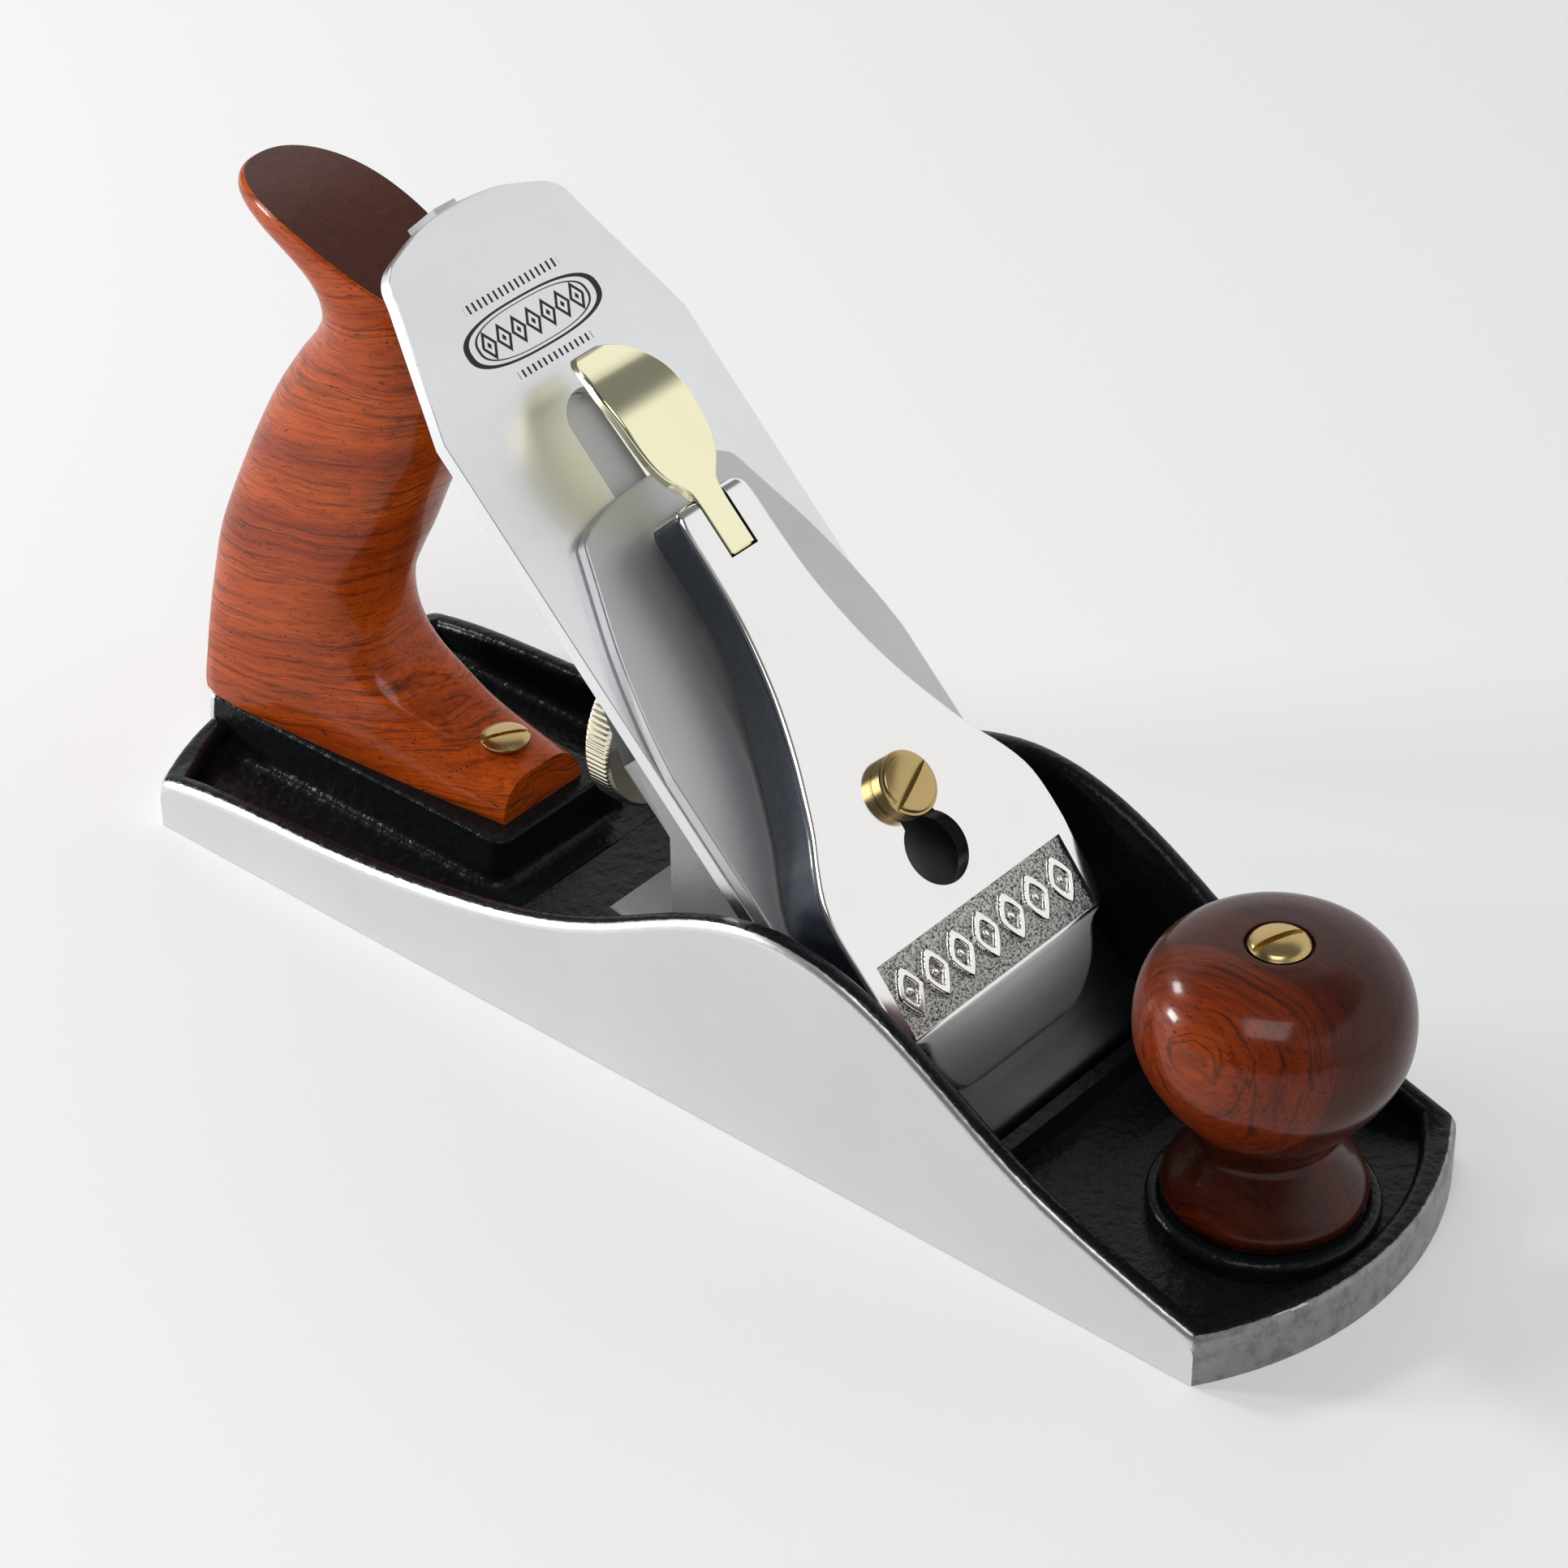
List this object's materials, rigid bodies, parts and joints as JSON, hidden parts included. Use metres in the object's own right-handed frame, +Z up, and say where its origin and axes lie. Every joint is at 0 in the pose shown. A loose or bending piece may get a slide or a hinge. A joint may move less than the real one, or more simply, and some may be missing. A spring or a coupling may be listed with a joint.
{
  "type": "bench plane",
  "caption": "Metal hand plane with arched side walls, ramp-seated frog, bedded blade with cap iron, cam-clamped lever cap, turned front knob and shaped rear handle.",
  "frame": {"origin": "under the middle of the sole, on its flat underside", "axes": "+X along the sole to the toe, +Y to the left of the user pushing the plane, +Z up out of the sole"},
  "size_m": [0.257, 0.0734, 0.1319],
  "materials": {
    "ground_iron": "ground sides and sole, gloss black japanning inside",
    "frog_iron": "matt grey casting with machined faces",
    "tote_wood": "oiled red-brown rosewood, satin",
    "knob_wood": "oiled dark red-brown rosewood, satin gloss",
    "brass": "turned brass",
    "pale_brass": "polished pale brass",
    "turned_steel": "turned steel",
    "satin_steel": "fine satin grey",
    "blade_steel": "ground light satin",
    "nickel_plate": "polished nickel plate"
  },
  "bodies": {
    "plane_body": {"sole_body": "ground_iron", "tote": "tote_wood", "tote_rod": "turned_steel", "tote_nut": "brass", "tote_toe_screw": "brass", "knob": "knob_wood", "knob_rod": "turned_steel", "knob_nut": "brass"},
    "frog": {"frog": "frog_iron", "frog_draw_pins": "turned_steel", "frog_adjust_plate": "turned_steel", "frog_plate_screw": "turned_steel", "depth_stud": "turned_steel", "yoke_pin": "turned_steel", "lateral_rivet": "turned_steel"},
    "clamp_screw_right": {"frog_clamp_screw_right": "turned_steel"},
    "clamp_screw_left": {"frog_clamp_screw_left": "turned_steel"},
    "adjust_screw": {"frog_adjust_screw": "turned_steel"},
    "depth_collar": {"depth_collar": "brass"},
    "depth_wheel": {"depth_wheel": "brass"},
    "depth_yoke": {"depth_yoke": "frog_iron"},
    "lateral_lever": {"lateral_lever": "satin_steel", "lateral_disc_rivet": "turned_steel"},
    "lateral_disc": {"lateral_disc": "turned_steel"},
    "iron_screw": {"cap_iron_screw": "turned_steel"},
    "cap_iron": {"cap_iron": "satin_steel", "cap_iron_front": "satin_steel"},
    "blade": {"blade": "blade_steel"},
    "lever_cap": {"lever_cap": "nickel_plate", "cam_pin": "turned_steel", "leaf_spring": "satin_steel", "spring_rivet": "turned_steel"},
    "cam_lever": {"cam_lever": "pale_brass"},
    "lever_cap_screw": {"lever_cap_screw": "brass"}
  },
  "joints": [
    {"name": "frog_slide", "type": "slide", "parent": "plane_body", "child": "frog", "axis": [0.9903, 0, -0.1392], "range_m": [-0.0015, 0.0009]},
    {"name": "frog_adjust_screw_turn", "type": "hinge", "parent": "frog", "child": "adjust_screw", "pos_m": [-0.01543, 0, 0.01254], "axis": [0.9903, 0, -0.1392], "range_deg": [-541, 325]},
    {"name": "clamp_screw_right_turn", "type": "hinge", "parent": "plane_body", "child": "clamp_screw_right", "pos_m": [-0.01543, -0.014, 0.01254], "axis": [0.9903, 0, -0.1392], "range_deg": [-360, 0]},
    {"name": "clamp_screw_left_turn", "type": "hinge", "parent": "plane_body", "child": "clamp_screw_left", "pos_m": [-0.01543, 0.014, 0.01254], "axis": [0.9903, 0, -0.1392], "range_deg": [-360, 0]},
    {"name": "collar_slide", "type": "slide", "parent": "frog", "child": "depth_collar", "axis": [1, 0, 0], "range_m": [-0.00156, 0.00118]},
    {"name": "depth_wheel_turn", "type": "hinge", "parent": "depth_collar", "child": "depth_wheel", "pos_m": [-0.0254, 0, 0.0456], "axis": [1, 0, 0], "range_deg": [-417.5, 556.5]},
    {"name": "yoke_pivot", "type": "hinge", "parent": "frog", "child": "depth_yoke", "pos_m": [-0.01875, 0, 0.05805], "axis": [0, 1, 0], "range_deg": [-5.38, 7.16]},
    {"name": "blade_depth", "type": "slide", "parent": "frog", "child": "iron_screw", "axis": [-0.7071, 0, 0.7071], "range_m": [-0.002, 0.0015]},
    {"name": "blade_tilt", "type": "hinge", "parent": "iron_screw", "child": "cap_iron", "pos_m": [0.02969, 0, 0.03111], "axis": [0.7071, 0, 0.7071], "range_deg": [-0.9, 0.9]},
    {"name": "blade_setting", "type": "slide", "parent": "cap_iron", "child": "blade", "axis": [-0.7071, 0, 0.7071], "range_m": [-0.001, 0.0007]},
    {"name": "lateral_lever_swing", "type": "hinge", "parent": "frog", "child": "lateral_lever", "pos_m": [-0.02642, 0, 0.07966], "axis": [0.7071, 0, 0.7071], "range_deg": [-4.7, 4.7]},
    {"name": "lateral_disc_turn", "type": "hinge", "parent": "lateral_lever", "child": "lateral_disc", "pos_m": [-0.01794, 0, 0.07117], "axis": [0.7071, 0, 0.7071], "continuous": true},
    {"name": "lever_cap_slide", "type": "slide", "parent": "frog", "child": "lever_cap", "axis": [-0.7071, 0, 0.7071], "range_m": [0, 0.0117]},
    {"name": "cam_lever_lift", "type": "hinge", "parent": "lever_cap", "child": "cam_lever", "pos_m": [-0.01444, 0, 0.09093], "axis": [0, 1, 0], "range_deg": [0, 75]},
    {"name": "lever_cap_screw_turn", "type": "hinge", "parent": "frog", "child": "lever_cap_screw", "pos_m": [0.0159, 0, 0.0449], "axis": [0.7071, 0, 0.7071], "range_deg": [-180, 180]}
  ],
  "couplings": [
    {"joint": "frog_adjust_screw_turn", "follows": "frog_slide", "rad_per_m": 6283.2},
    {"joint": "collar_slide", "follows": "blade_depth", "ratio": 0.77351},
    {"joint": "yoke_pivot", "follows": "blade_depth", "rad_per_m": -62.112},
    {"joint": "depth_wheel_turn", "follows": "blade_depth", "rad_per_m": -4860.1},
    {"joint": "lateral_lever_swing", "follows": "blade_tilt", "ratio": -5.1667}
  ]
}
